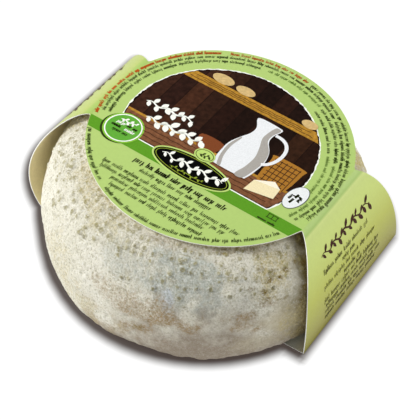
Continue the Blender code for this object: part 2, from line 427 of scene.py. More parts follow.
def patchShare(kind, place, wander):
    # how much of a tone shows at a place, with the patches' edges shifted about by noise
    share = 0.0
    edge = patchEdge["edge"] + wander * patchEdge["shifts"].get(kind, 1)
    turnLength = 2 * math.pi * wheel["radius"]
    for direction, run, halfLength, halfHeight, strength in patches[kind]:
        along = place.x - math.radians(direction) * wheel["radius"]
        along = (along + turnLength / 2) % turnLength - turnLength / 2
        away = math.hypot(along / halfLength / mm, (place.y / mm - run) / halfHeight)
        if away < patchEdge["end"]:
            share = max(share, strength * softStep((edge - away) / patchEdge["fade"]))
    return share


def makeWheel(material):
    outline = rindOutline()
    runs = [0.0]
    for a, b in zip(outline, outline[1:]):
        runs.append(runs[-1] + (b - a).length)
    field = nubField(runs, [point.x for point in outline])
    faceRings = [Vector((wheel["face"] * step / 3, wheel["height"])) for step in range(3)]
    footRings = [Vector((wheel["foot"] * step / 4, outline[-1].y)) for step in (3, 2, 1, 0)]
    line = faceRings + outline + footRings
    columns = round(2 * math.pi * wheel["radius"] / wheel["cell"])

    # a flat grid, rolled round the axis and closed at its seam and its two middles
    rind = bmesh.new()
    bmesh.ops.create_grid(rind, x_segments=columns, y_segments=len(line) - 1, size=0.5)
    marks = {name: rind.verts.layers.float_vector.new(name) for name in ("nubPlace", *patchLayers)}
    for vert in rind.verts:
        turn = vert.co.x + 0.5
        row = round((0.5 - vert.co.y) * (len(line) - 1))
        ring = line[row]
        direction = 2 * math.pi * turn
        point = Vector((ring.x * math.cos(direction), ring.x * math.sin(direction), ring.y))
        run = runs[min(max(row - len(faceRings), 0), len(runs) - 1)]
        if ring.x < wheel["face"] or row >= len(faceRings) + len(outline):
            vert.co = settle(point)
            continue
        along, down, chance = nearestNub(field, turn % 1, run, ring.x)
        share = nubShare(turn, run)
        strength = softStep((share - chance) * relief["nubOnset"])
        nub = relief["nubHeight"] * strength * nubHeight(math.hypot(along, down), chance, share)
        place = Vector(((turn if turn < 0.5 else turn - 1) * 2 * math.pi * wheel["radius"], run))
        felt = relief["feltHeight"] * noise.noise(point / relief["feltLength"])
        fold = relief["crinkleLevel"] - abs(noise.noise(point / relief["crinkleLength"]))
        detail = nub + felt + relief["crinkleHeight"] * fold + creaseHeight(place)
        outward = Vector((point.x, point.y, point.z - wheel["belly"])).normalized()
        roundPart = softStep((ring.x - wheel["face"]) / wheel["roundWidth"])
        vert.co = settle(point + outward * (swelling(point) + detail) * roundPart)
        wander = sum(height * noise.noise(point / length) for height, length in patchEdge["noises"])
        vert[marks["nubPlace"]] = (along, down, strength)
        for layer, kinds in patchLayers.items():
            shares = [patchShare(kind, place, wander) for kind in kinds]
            vert[marks[layer]] = shares + [0.0] * (3 - len(shares))
    bmesh.ops.remove_doubles(rind, verts=rind.verts, dist=0.001 * mm)
    bmesh.ops.recalc_face_normals(rind, faces=rind.faces)
    piece = finishPiece("rindWheel", rind, [material])
    piece.data.shade_smooth()
    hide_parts("cheese_wheel")
    print("rindWheel:", len(piece.data.polygons), "faces")


rindColours = {
    "bloom": "f8f5e5", "bloomShade": "efecda", "nub": "a89e5f", "straw": "d3c384", "tan": "a98e63",
    # the pinkish tone low on the wheel is partly the rind's colour and partly painted shade
    "olive": "84702e", "grey": "cbd0c6", "roseAndPaintedLowShade": "aa9c8a", "cream": "cfc5a8", "blue": "d5dde4",
    # the painted shade beside the sleeve's panels, then the felt's pits and specks
    "paintedShade": "786b42", "pit": "7d7549", "speck": "fefdf8",
}
# size of the flecks in which each tone comes through, and how far they break it up
rindFlecks = {"straw": (1.6 * mm, 0.55), "tan": (1.3 * mm, 0.65), "olive": (1.3 * mm, 0.5),
              "grey": (2.2 * mm, 0.4), "roseAndPaintedLowShade": (3.0 * mm, 0.16), "blue": (1.8 * mm, 0.4),
              # the cream tone, and the painted shade beside the sleeve's panels
              "cream": (2.6 * mm, 0.2), "paintedShade": (2.4 * mm, 0.08)}
# the felt's noises: size, detail and roughness
rindNoises = {tone: (size, 4.0, 0.7) for tone, (size, breaking) in rindFlecks.items()}
rindNoises |= {"mottle": (16 * mm, 5.0, 0.5), "ragged": (1.4 * mm, 3.0, 0.6),
               "middle": (2.2 * mm, 5.0, 0.7), "fine": (0.9 * mm, 6.0, 0.75)}
# pits and specks: their noise, where in it they start and end, how much of the colour shows, colour
rindSpecks = [("middle", 0.49, 0.3, 0.5, "pit"), ("fine", 0.48, 0.3, 0.85, "pit"),
              ("fine", 0.53, 0.66, 1.0, "speck")]
rindFinish = {"roughness": 0.9, "specular": 0.2, "bump": 0.92 * mm, "calmest": 0.25, "nubShare": 0.66}


def makeRindMaterial():
    # bloomy rind of a soft cheese: a matt felt of white mould that lets beige rind through in places, with
    # painted shade beside the sleeve's panels and low on the wheel
    material, shader = newMaterial("bloomyRindFeltAndPaintedShade")
    place = addNode(material, "TexCoord", {}).outputs["Object"]
    noises = {}
    for name, (size, detail, roughness) in rindNoises.items():
        inputs = {"Vector": place, "Scale": 1 / size, "Detail": detail, "Roughness": roughness}
        noises[name] = addNode(material, "TexNoise", inputs).outputs[0]
    mottle = addNode(material, "MapRange", {0: noises["mottle"], 1: 0.35, 2: 0.65})
    layers = [(mottle.outputs[0], "bloomShade")]
    # the tones, broken up into flecks
    tones = {}
    for layer in ("rindCool", "rindCreamAndPaintedShade", "rindWarm"):
        held = addNode(material, "Attribute", {}, attribute_name=layer)
        parts = addNode(material, "SeparateXYZ", {0: held.outputs["Vector"]})
        for part, tone in zip(parts.outputs, patchLayers[layer]):
            tones[tone] = part
            breaking = rindFlecks[tone][1]
            flecks = addNode(material, "MapRange", {0: noises[tone], 1: 0.35, 2: 0.65,
                                                    3: -breaking, 4: breaking})
            broken = addNode(material, "Math", {0: part, 1: flecks.outputs[0]}, operation="ADD")
            kept = addNode(material, "Math", {0: broken.outputs[0], 1: part}, operation="MULTIPLY",
                           use_clamp=True)
            layers.append((kept.outputs[0], tone))
    # the tops of the nubs, where the felt is rubbed thin
    nub = addNode(material, "Attribute", {}, attribute_name="nubPlace")
    parts = addNode(material, "SeparateXYZ", {0: nub.outputs["Vector"]})
    flat = addNode(material, "CombineXYZ", {0: parts.outputs[0], 1: parts.outputs[1]})
    distance = addNode(material, "VectorMath", {0: flat.outputs[0]}, operation="LENGTH")
    ragged = addNode(material, "Math", {0: noises["ragged"], 1: 1.6, 2: distance.outputs["Value"]},
                     operation="MULTIPLY_ADD")
    top = addNode(material, "MapRange", {0: ragged.outputs[0], 1: 1.95, 2: 1.35, 4: rindFinish["nubShare"]})
    thin = addNode(material, "Math", {0: top.outputs[0], 1: parts.outputs[2]}, operation="MULTIPLY")
    layers.append((thin.outputs[0], "nub"))
    # the rose felt low down, partly painted shade, and the painted shade beside the panels are smoother
    # than the rest
    smooth = tones["roseAndPaintedLowShade"]
    for tone in ("paintedShade", "cream"):
        smooth = addNode(material, "Math", {0: smooth, 1: tones[tone]}, operation="MAXIMUM").outputs[0]
    calm = addNode(material, "MapRange", {0: smooth, 1: 0.2, 2: 0.9, 3: 1.0, 4: rindFinish["calmest"]})
    for name, start, end, most, tone in rindSpecks:
        amount = addNode(material, "MapRange", {0: noises[name], 1: start, 2: end, 4: most})
        calmed = addNode(material, "Math", {0: amount.outputs[0], 1: calm.outputs[0]}, operation="MULTIPLY")
        layers.append((calmed.outputs[0], tone))
    colour = linearColour(rindColours["bloom"])
    for amount, tone in layers:
        inputs = {0: amount, 6: colour, 7: linearColour(rindColours[tone])}
        colour = addNode(material, "Mix", inputs, data_type="RGBA").outputs[2]
    height = addNode(material, "Math", {0: noises["fine"], 1: noises["middle"]}, operation="ADD")
    bump = addNode(material, "Bump", {"Height": height.outputs[0], "Strength": 1.0,
                                      "Distance": rindFinish["bump"]})
    setInputs(shader, {"Base Color": colour, "Normal": bump.outputs[0],
                       "Roughness": rindFinish["roughness"], "Specular IOR Level": rindFinish["specular"]})
    return material


def makeSleeve(materials):
    # the card: a flat grid, laid round the wheel and closed at its seam underneath
    us = sorted({side * run for side, table in runTables.items() for run in table})
    card = bmesh.new()
    blankMap = card.loops.layers.uv.new("blankMap")
    bmesh.ops.create_grid(card, x_segments=len(us) - 1, y_segments=sleeve["acrossSteps"], size=0.5)
    places = {}
    for vert in card.verts:
        u = us[round((vert.co.x + 0.5) * (len(us) - 1))]
        places[vert] = (u, 2 * vert.co.y * blankHalf(u))
    for face in card.faces:
        for loop in face.loops:
            loop[blankMap].uv = [value / sleeveColours["unit"] for value in places[loop.vert]]
    for vert, (u, v) in places.items():
        vert.co = wrap(u, v, 0)
    bmesh.ops.remove_doubles(card, verts=card.verts, dist=0.01 * mm)
    bmesh.ops.recalc_face_normals(card, faces=card.faces)
    for edge in card.edges:
        edge.smooth = not edge.is_boundary
    piece = finishPiece("cardSleeve", card, materials)
    wall = piece.modifiers.new("Card", "SOLIDIFY")
    wall.thickness = sleeve["card"]
    wall.offset = 0
    wall.use_even_offset = True
    wall.material_offset = 1
    wall.material_offset_rim = 2
    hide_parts("card_sleeve")
    print("cardSleeve:", len(piece.data.polygons), "faces")
    return piece


def tint(material, shader, base, spread, size):
    # breaks a base colour up a little by noise of that size, and gives the noise back
    place = addNode(material, "TexCoord", {}).outputs["Object"]
    grain = addNode(material, "TexNoise", {"Vector": place, "Scale": 1 / size, "Detail": 4.0}).outputs[0]
    amount = addNode(material, "MapRange", {0: grain, 1: 0.3, 2: 0.7, 3: 1 - spread, 4: 1 + spread})
    shade = addNode(material, "VectorMath", {0: base, 3: amount.outputs[0]}, operation="SCALE")
    setInputs(shader, {"Base Color": shade.outputs[0]})
    return grain


# the card's colours along the blank, with painted light and shade on the panels, at places from the disc's
# middle in units of this length
sleeveColours = {
    "unit": 100 * mm, "reach": 1.5,
    # the inside: pale board, then from the right panel's fold along the floor panel under the wheel,
    # painted shade from grey to dark
    "inside": [(-1.3, "fbeebc"), (1.2, "efe2b4"), (1.33, "c9ccc2"), (1.36, "b4b6aa"), (1.46, "6a6450")],
    # the print; on the panels, over their own yellower print, a painted highlight just past the right
    # crease and painted shade darkening towards both feet
    "print": [(-1.4, "7a6f2b"), (-1.2, "898139"), (-0.95, "98983f"), (-0.78, "aebc61"), (-0.66, "b5c36d"),
              (-0.654, "a4c263"), (-0.6, "b1cc74"), (0.0, "b1cd75"), (0.63, "b0cc72"), (0.657, "aaca68"),
              (0.659, "dae992"), (0.69, "d4e48a"), (0.74, "cfdf80"), (0.98, "b6bc4c"), (1.2, "949032"),
              (1.4, "7e7426")],
}


def blankRamp(material, face):
    # a colour that changes along the blank
    blank = addNode(material, "UVMap", {}, uv_map="blankMap")
    parts = addNode(material, "SeparateXYZ", {0: blank.outputs[0]})
    reach = sleeveColours["reach"]
    scaled = addNode(material, "MapRange", {0: parts.outputs[0], 1: -reach, 2: reach})
    ramp = addNode(material, "ValToRGB", {0: scaled.outputs[0]})
    elements = ramp.color_ramp.elements
    while len(elements) < len(sleeveColours[face]):
        elements.new(1.0)
    for element, (position, code) in zip(elements, sleeveColours[face]):
        element.position = (position / reach + 1) / 2
        element.color = linearColour(code)
    return ramp.outputs[0]


def makePrintedCard():
    # offset-printed cartonboard under a satin coating: leaf-green disc, yellower panels, with painted light
    # and shade down the panels
    material, shader = newMaterial("printedCartonboard")
    tint(material, shader, blankRamp(material, "print"), 0.02, 1.5 * mm)
    setInputs(shader, {"Roughness": 0.42, "Specular IOR Level": 0.3})
    return material


def makeCardStock(name, code, roughness, spread, size):
    # paperboard without print, with the cloudy look of its fibres; without a code it is the inside, which
    # holds painted shade under the wheel
    material, shader = newMaterial(name)
    base = linearColour(code)[:3] if code else blankRamp(material, "inside")
    height = tint(material, shader, base, spread, size)
    bump = addNode(material, "Bump", {"Height": height, "Strength": 0.2, "Distance": 0.1 * mm})
    setInputs(shader, {"Normal": bump.outputs[0], "Roughness": roughness})
    return material


# Ink. Each printed shape is a thin closed piece on the card's outer face. Shapes are drawn flat, in
# millimetres on the blank, and higher levels lie over lower ones.

ink = {"thickness": 0.04 * mm, "step": 6 * mm, "roughness": 0.42, "specular": 0.05}
inkColours = {
    "Rust": "b4561f", "DarkOlive": "35441a", "MossGreen": "5e7a33", "InkBlack": "1e220c",
    "PanelOlive": "4a4518", "InkWhite": "f4f7ee", "LeafGreen": "5c9826", "WallBrown": "170c08",
    "MilkWhite": "e8ebee", "JugShade": "a9a59f", "Wicker": "a8742c", "CheesePaste": "efe2b8",
    "CheeseTop": "f8f1dc", "Earthenware": "7d4426", "TableBrown": "7a5036", "OchreWood": "b0822f",
    "GrainBrown": "462a1b", "CheeseRind": "cfb27a", "ShadowGreen": "2c3d12", "BadgeLight": "8cc63f",
    "BadgeGreen": "60a83a", "RimGreen": "bcd777", "PlaqueBlack": "020202", "PlaqueOlive": "93a536",
    "OvalGrey": "4c5254", "OvalWhite": "e9edee", "TitleBrown": "43261a",
    "Board0": "3a2218", "Board1": "2b1812", "Board2": "412619", "Board3": "301c13", "Board4": "24130d",
    "Board5": "1c0f0a", "Board6": "2a1710", "Board7": "1d100b", "Board8": "331e12", "Board9": "26150d",
}
# how far an ink's colour varies, and over what length
inkVariety = {"even": (0.07, 0.7 * mm), "Board": (0.35, 2.5 * mm), "TableBrown": (0.3, 2 * mm),
              "OchreWood": (0.3, 1.5 * mm), "CheeseRind": (0.15, 1.5 * mm)}
inks = {}


def inkOf(name):
    # offset ink under the card's satin coating, one material for each colour
    if name not in inks:
        material, shader = newMaterial("offset" + name)
        variety = inkVariety.get(name.rstrip("0123456789"), inkVariety["even"])
        tint(material, shader, linearColour(inkColours[name])[:3], *variety)
        setInputs(shader, {"Roughness": ink["roughness"], "Specular IOR Level": ink["specular"]})
        inks[name] = material
    return inks[name]


def scoreInk(flat):
    # cuts the shape along a lattice of lines, so that it can bend with the card
    for axis in (0, 1):
        values = [vert.co[axis] for vert in flat.verts]
        low, high = min(values), max(values)
        for index in range(1, math.ceil((high - low) / ink["step"])):
            at, normal = Vector((0, 0, 0)), Vector((0, 0, 0))
            at[axis], normal[axis] = low + index * ink["step"], 1
            geometry = flat.verts[:] + flat.edges[:] + flat.faces[:]
            bmesh.ops.bisect_plane(flat, geom=geometry, plane_co=at, plane_no=normal, dist=0.001 * mm)


def layInk(name, colour, level, shapes, scored=False, shift=(0, 0)):
    # draws flat shapes, gives them their thickness and lays them on the sleeve, so many inks up
    flat = bmesh.new()
    for addShape, *values in shapes:
        addShape(flat, *values)
    bmesh.ops.translate(flat, verts=flat.verts, vec=(*shift, 0))
    bmesh.ops.scale(flat, verts=flat.verts, vec=(mm, mm, mm))
    if scored:
        scoreInk(flat)
    for face in flat.faces:
        face.normal_update()
        if face.normal.z < 0:
            face.normal_flip()
    raised = bmesh.ops.extrude_face_region(flat, geom=flat.faces[:], use_keep_orig=True)
    tops = [item for item in raised["geom"] if isinstance(item, bmesh.types.BMVert)]
    bmesh.ops.translate(flat, verts=tops, vec=(0, 0, ink["thickness"]))
    bmesh.ops.recalc_face_normals(flat, faces=flat.faces)
    floorLift = sleeve["card"] / 2 + level * ink["thickness"]
    for vert in flat.verts:
        vert.co = wrap(vert.co.x, vert.co.y, floorLift + vert.co.z)
    piece = finishPiece("print" + name, flat, [inkOf(colour)])
    print(piece.name + ":", len(piece.data.polygons), "faces")


def addOutline(flat, points):
    flat.faces.new([flat.verts.new((x, y, 0)) for x, y in points])


def addCurved(flat, points, steps=5):
    # a closed curve through the points
    curve = []
    for index in range(len(points)):
        near = [Vector(points[(index + shift) % len(points)]) for shift in (-1, 0, 1, 2)]
        before, start, end, after = near
        handles = (start + (end - before) / 6, end - (after - start) / 6)
        curve += interpolate_bezier(start, *handles, end, steps)[:-1]
    addOutline(flat, [(place.x, place.y) for place in curve])


def addOval(flat, centre, halfWidth, halfHeight, turn=0.0, steps=48):
    matrix = (Matrix.Translation((*centre, 0)) @ Matrix.Rotation(turn, 4, "Z")
              @ Matrix.Diagonal((halfWidth, halfHeight, 1, 1)))
    bmesh.ops.create_circle(flat, cap_ends=True, segments=steps, radius=1, matrix=matrix)


def addRing(flat, centre, radii, width, steps=72):
    angles = [2 * math.pi * step / steps for step in range(steps)]
    rings = [[flat.verts.new((centre[0] + (radii[0] + grow) * math.cos(angle),
                              centre[1] + (radii[1] + grow) * math.sin(angle), 0)) for angle in angles]
             for grow in (0, width)]
    for step in range(steps):
        following = (step + 1) % steps
        flat.faces.new((rings[0][step], rings[1][step], rings[1][following], rings[0][following]))


def addRibbon(flat, points, widths):
    # a stroke of varying width along a line of points
    sides = []
    for index, point in enumerate(points):
        along = points[min(index + 1, len(points) - 1)] - points[max(index - 1, 0)]
        across = Vector((-along.y, along.x)).normalized() * widths[index] / 2
        sides.append([flat.verts.new((*place, 0)) for place in (point - across, point + across)])
    for (a, b), (c, d) in zip(sides, sides[1:]):
        flat.faces.new((a, c, d, b))


def addBar(flat, start, end, width):
    addRibbon(flat, [Vector(start), Vector(end)], [width, width])


def addBand(flat, radius, low, high, steps=12):
    # the part of a disc between two heights
    heights = [low + (high - low) * step / steps for step in range(steps + 1)]
    edge = [(math.sqrt(radius**2 - y**2), y) for y in heights]
    addOutline(flat, edge + [(-x, y) for x, y in reversed(edge)])


def addRoundel(flat, radius, base, ragged, seed, steps=150):
    # a disc cut off at its base, with a ragged edge
    draw = random.Random(seed)
    start = math.asin(base / radius)
    points = []
    for step in range(steps + 1):
        angle = start + (math.pi - 2 * start) * step / steps
        reach = radius + ragged * draw.uniform(-1, 1) * (0 < step < steps)
        points.append((reach * math.cos(angle), reach * math.sin(angle)))
    addOutline(flat, points)


def addPlank(flat, left, right, foot, radius, steps=8):
    # an upright board, cut round at its top by the picture's edge
    xs = [right + (left - right) * step / steps for step in range(steps + 1)]
    addOutline(flat, [(left, foot), (right, foot)] + [(x, math.sqrt(radius**2 - x**2)) for x in xs])


def addGrain(flat, height, reach, pen):
    # a wavy line of wood grain, as far to the left as to the right
    line = [Vector((x, height + 0.28 * math.sin(x * 0.8))) for x in range(-reach, reach + 1, 3)]
    addRibbon(flat, line, [pen] * len(line))


def addLeaf(flat, base, direction, length, width):
    along = Vector((math.cos(direction), math.sin(direction)))
    across = Vector((-along.y, along.x))
    edge = [(share, width / 2 * math.sin(math.pi * share) ** 0.8) for share in (0.12, 0.3, 0.5, 0.7, 0.88)]
    right = [base + along * share * length - across * half for share, half in edge]
    left = [base + along * share * length + across * half for share, half in reversed(edge)]
    addOutline(flat, [base] + right + [base + along * length] + left)


def addSprig(flat, start, end, leaves, leafSize, wave, stem):
    # a wavy stem from start to end with leaves on its two sides in turn
    start, end = Vector(start), Vector(end)
    along = (end - start).normalized()
    across = Vector((-along.y, along.x))
    heading = math.atan2(along.y, along.x)
    draw = random.Random(leaves * 7 + round(leafSize[0] * 10))

    def stemAt(share):
        return start.lerp(end, share) + across * wave * math.sin(share * leaves * math.pi / 2)

    steps = leaves * 3
    widths = [stem * (0.35 + 0.65 * math.sin(math.pi * step / steps)) for step in range(steps + 1)]
    addRibbon(flat, [stemAt(step / steps) for step in range(steps + 1)], widths)
    for leaf in range(leaves):
        side = 1 if leaf % 2 else -1
        turn = heading + side * draw.uniform(0.75, 1.25)
        scale = draw.uniform(0.75, 1.15)
        addLeaf(flat, stemAt((leaf + 0.5) / leaves), turn, leafSize[0] * scale, leafSize[1] * scale)


# Small print is greeked: rows of meaningless strokes. A row is straight (start, direction in
# degrees, length) or an arc round the rings' middle (radius, first and last angle in degrees).
# Sizes are in heights of the low letters, and slant is how far a stroke leans for its height.

smallPrint = {
    "ringCentre": Vector((-0.9, 0.2)), "rowEnd": 1.5,
    "letterPitch": 0.46, "pitchSpread": (0.8, 1.25), "wordLetters": (4, 12), "wordGap": 0.7,
    "tall": 1.55, "tallShare": 0.2, "low": 0.45, "lowShare": 0.1, "slant": 0.1,
    "hairline": 0.45, "hairShare": 0.7, "bold": 1.45, "boldShare": 0.35,
}
blocks = [
    # name, colour, level, height of the low letters, pen width, rows
    ("RustRing", "Rust", 2, 1.45, 0.46, [(63.2, 200, 121)]),
    ("RustRingThin", "Rust", 2, 1.4, 0.28, [(63.2, 119, 78)]),
    ("DarkRings", "DarkOlive", 2, 1.4, 0.27,
     [(63.2, 76, -18), (60.3, 197.5, 52), (60.3, 50, -21), (57.2, 197.5, 100)]),
    ("PaleRings", "MossGreen", 2, 1.3, 0.22, [(57.2, 98, 62), (53.4, 26, -5), (57.2, 20, -22)]),
    ("InnerRings", "DarkOlive", 2, 1.3, 0.25, [(57.2, 60, 22), (53.4, 60, 28)]),
    ("EdgeRing", "DarkOlive", 2, 1.6, 0.3, [(65.4, 210, 242), (65.4, 246.5, 330.5)]),
    ("Heading", "InkBlack", 2, 2.3, 0.56, [((-26.8, -37.0), 0, 54)]),
    ("Paragraph", "DarkOlive", 2, 1.8, 0.26,
     [((-20.4, -41.1), 0, 41.3), ((-38.8, -45.9), 0, 79), ((-37.8, -49.4), 0, 76), ((-28.8, -53.0), 0, 57),
      ((-26.8, -56.8), 0, 53)]),
    ("RightPanelText", "PanelOlive", 2, 2.0, 0.24,
     [((91.0, -24.5), 90, 45), ((95.2, -8), 90, 16), ((99.6, -26), 90, 50), ((103.8, -8), 90, 16),
      ((108.0, -27), 90, 53), ((111.8, -26), 90, 51), ((115.6, -27), 90, 54), ((119.4, -27), 90, 50)]),
    ("LeftPanelText", "PanelOlive", 2, 2.0, 0.24,
     [((-90.6, 24.5), -90, 45), ((-95.0, 8), -90, 16), ((-99.4, 26), -90, 50), ((-102.2, 8), -90, 16),
      ((-106.0, 27), -90, 53), ((-109.6, 26), -90, 51), ((-113.2, 27), -90, 54), ((-116.8, 14), -90, 28)]),
    ("BadgeText", "InkWhite", 6, 1.5, 0.42, [((-49.0, -20.8), 0, 6.0), ((-42.6, -23.5), 0, 6.4)]),
    ("BadgeDarkText", "InkBlack", 6, 1.4, 0.36,
     [((-43.0, -20.8), 0, 7.0), ((-50.4, -23.5), 0, 7.4), ((-48.0, -26.2), 0, 9.0)]),
    ("OvalText", "InkBlack", 5, 1.25, 0.42,
     [((51.8, -11.2), 79, 5.2), ((48.9, -13.8), 79, 9.6), ((47.2, -11.6), 79, 5.2)]),
    ("StripeText", "DarkOlive", 1, 0.9, 0.4, [((41.0, -30.6), 0, 9.5)]),
]


def rowPlace(row, distance):
    # a place on a row, with the directions along and up the letters
    if isinstance(row[0], tuple):
        heading = math.radians(row[1])
        along = Vector((math.cos(heading), math.sin(heading)))
        return Vector(row[0]) + along * distance, along, Vector((-along.y, along.x))
    radius, first, last = row
    turning = 1 if last > first else -1
    angle = math.radians(first) + turning * distance / radius
    outward = Vector((math.cos(angle), math.sin(angle)))
    across = Vector((-outward.y, outward.x))
    return smallPrint["ringCentre"] + outward * radius, across * turning, -outward * turning


def rowLength(row):
    return row[2] if isinstance(row[0], tuple) else row[0] * math.radians(abs(row[2] - row[1]))


def addScribble(flat, row, height, pen, draw):
    # words of upright strokes joined by hairlines, as far as the row reaches
    def stroke(a, b, width):
        middle = (a[0] + b[0]) / 2
        origin, along, up = rowPlace(row, middle)
        corners = [(a[0], a[1]), (a[0] + width, a[1]), (b[0] + width, b[1]), (b[0], b[1])]
        addOutline(flat, [origin + along * (x - middle) + up * y for x, y in corners])

    distance, total, slant = 0.0, rowLength(row), smallPrint["slant"]
    while distance < total - smallPrint["rowEnd"] * height:
        weight = pen * (smallPrint["bold"] if draw.random() < smallPrint["boldShare"] else 1.0)
        for letter in range(draw.randint(*smallPrint["wordLetters"])):
            top, foot, chance = height, 0.0, draw.random()
            if chance < smallPrint["tallShare"]:
                top = height * smallPrint["tall"]
            elif chance > 1 - smallPrint["lowShare"]:
                foot = -height * smallPrint["low"]
            pitch = height * smallPrint["letterPitch"] * draw.uniform(*smallPrint["pitchSpread"])
            if distance + pitch > total:
                return
            stroke((distance, foot), (distance + slant * (top - foot), top), weight)
            if draw.random() < smallPrint["hairShare"]:
                low, high = (0.0, height) if draw.random() < 0.5 else (height, 0.0)
                start, end = (distance + slant * low, low), (distance + pitch + slant * high, high)
                stroke(start, end, weight * smallPrint["hairline"])
            distance += pitch
        distance += height * smallPrint["wordGap"]


def printSmallText():
    for number, (name, colour, level, height, pen, rows) in enumerate(blocks):
        draw = random.Random(number + 31)
        layInk(name, colour, level, [(addScribble, row, height, pen, draw) for row in rows])


# The label's fields, in millimetres from the disc's middle

label = {
    "stripe": (-31.3, -24.0), "edge": 0.2,
    # the care mark's left, right, top and foot, how far its uprights stand in, and its bars' width
    "careMark": (44.2, 50.0, -24.9, -27.5), "careInset": 0.5, "careBar": 0.42,
    "picture": 50.0, "pictureCentre": Vector((-1.9, 1.0)), "rim": 0.7, "line": 0.7, "inset": 0.45,
    "ragged": 0.35, "rimRagged": 0.21,
    "plankEdges": (-49, -40, -31, -21, -11, -1, 9, 19, 29, 39, 49), "plankGap": 0.35, "plankFoot": -9,
    "badge": (-43.7, -22.2), "badgeRadius": 10.5,
    "plaque": (-1.3, -24.2), "plaqueSize": (21.6, 7.6), "crest": (0.4, 11.2),
    "oval": (49.4, -9.0), "ovalSize": (4.7, 8.2), "ovalEdge": 0.35, "ovalTurn": -0.18,
    "flourish": 80.6,
}


def printStripe():
    reach = sleeve["discRadius"] / mm - label["edge"]
    layInk("Stripe", "LeafGreen", 0, [(addBand, reach, *label["stripe"], 6)], True)
    # a small care mark of plain bars on the stripe
    left, right, top, foot = label["careMark"]
    bars = [((left, y), (right, y)) for y in (top, foot)]
    for x in (left + label["careInset"], right - label["careInset"], (left + right) / 2):
        bars.append(((x, top), (x, foot)))
    layInk("CareMark", "DarkOlive", 1, [(addBar, *bar, label["careBar"]) for bar in bars])


def printPicture():
    # the roundel: a dairy shelf with a jug, a basket and a cheese, against a wall of boards
    radius, base = label["picture"], label["stripe"][1] - label["pictureCentre"].y
    inner, wallBase = radius - label["inset"], base + label["line"]
    planks = []
    for number, (left, right) in enumerate(zip(label["plankEdges"], label["plankEdges"][1:])):
        plank = (addPlank, left, right - label["plankGap"], label["plankFoot"], inner)
        planks.append(("Plank%d" % number, "Board%d" % number, 2, [plank]))
    rounds = [(addOval, (x, 33.4 + halfHeight), halfWidth, halfHeight)
              for x, halfWidth, halfHeight in ((-22, 6.4, 3.4), (-8, 5.6, 3.0), (31, 4.6, 2.8))]
    handle = interpolate_bezier(Vector((21.5, 19)), Vector((36, 20)), Vector((33, 0)), Vector((26, -2)), 16)
    weave = []
    for row in range(6):
        y = -9.6 + 3 * row
        weave.append((addBar, (30.4 - 0.14 * row, y), (42.6 + 0.4 * row, y), 0.5))
    for column in range(6):
        x = 31.6 + 2.4 * column
        weave.append((addBar, (x, -11), (x + 0.2 * (column - 2), 6.4), 0.4))
    fields = [
        # name, colour, level and shapes
        ("PictureRim", "InkWhite", 0, [(addRoundel, radius + label["rim"], base, label["rimRagged"], 5)]),
        ("Picture", "WallBrown", 1, [(addRoundel, radius, wallBase, label["ragged"], 6)]),
        *planks,
        ("Table", "TableBrown", 2, [(addBand, inner, wallBase + 0.4, -9)]),
        ("Shelves", "OchreWood", 3, [(addBand, inner, 27.4, 33.6), (addBand, inner, -10.6, -9.2)]),
        ("ShelfGrain", "GrainBrown", 4,
         [(addGrain, height, reach, 0.35) for height, reach in ((29.2, 38), (31.6, 35), (30.4, 30))]),
        ("TableGrain", "GrainBrown", 3,
         [(addGrain, height, reach, 0.4)
          for height, reach in ((-12.8, 46), (-15.6, 45), (-18.4, 44), (-21.2, 43))]),
        ("ShelfCheeses", "CheeseRind", 4, rounds),
        ("Jug", "MilkWhite", 4,
         [(addCurved, [(8, -15), (6, -13.6), (5, -7), (5.2, 1), (8, 8), (10.4, 13), (10.6, 18), (7.6, 23.6),
                       (11, 25), (21, 24.6), (22.6, 23), (20.8, 18), (21.2, 13), (25.2, 7), (27, 0),
                       (26.4, -8), (25, -14), (23, -15)])]),
        ("JugShade", "JugShade", 5,
         [(addCurved, [(19, -15), (20.6, -8), (21.2, 0), (19.4, 7), (17.2, 13), (17.4, 18), (19, 23.6),
                       (22, 23), (20.2, 18), (20.5, 13), (24.9, 7), (26.5, 0), (25.5, -8), (23.5, -15)]),
          (addCurved, [(8.4, -14.6), (6.4, -8), (5.9, 0), (7.8, 7), (8.8, 7), (7.6, 0), (8.2, -8),
                       (10.4, -14.6)])]),
        ("Basket", "Wicker", 4,
         [(addCurved, [(30, -12), (28.4, 4), (29, 7.6), (45.6, 7.6), (46.4, 4), (43.4, -12)])]),
        ("Wedge", "CheesePaste", 6, [(addOutline, [(28, -20.5), (43, -17.5), (42.6, -10.5), (29, -12.6)])]),
        ("WedgeTop", "CheeseTop", 7, [(addOutline, [(29, -12.6), (42.6, -10.5), (38, -7.6)])]),
        ("Bowl", "Earthenware", 4,
         [(addCurved, [(-8.6, -2.2), (-7, -9.6), (-3.4, -13), (0.4, -13), (3.6, -9.6), (4.4, -2.2)])]),
        ("JugHandle", "MilkWhite", 6, [(addRibbon, handle, [1.9] * len(handle))]),
        ("BasketWeave", "GrainBrown", 5, weave),
    ]
    for name, colour, level, shapes in fields:
        layInk(name, colour, level, shapes, True, label["pictureCentre"])
    layInk("TitleSprig", "InkWhite", 6, [(addSprig, (-46, 0.6), (-18.5, 2.8), 11, (4.8, 2.9), 0.9, 1.2),
                                         (addSprig, (-39.5, -8.8), (-7, -7.0), 13, (4.9, 3.0), 1.0, 1.3)])


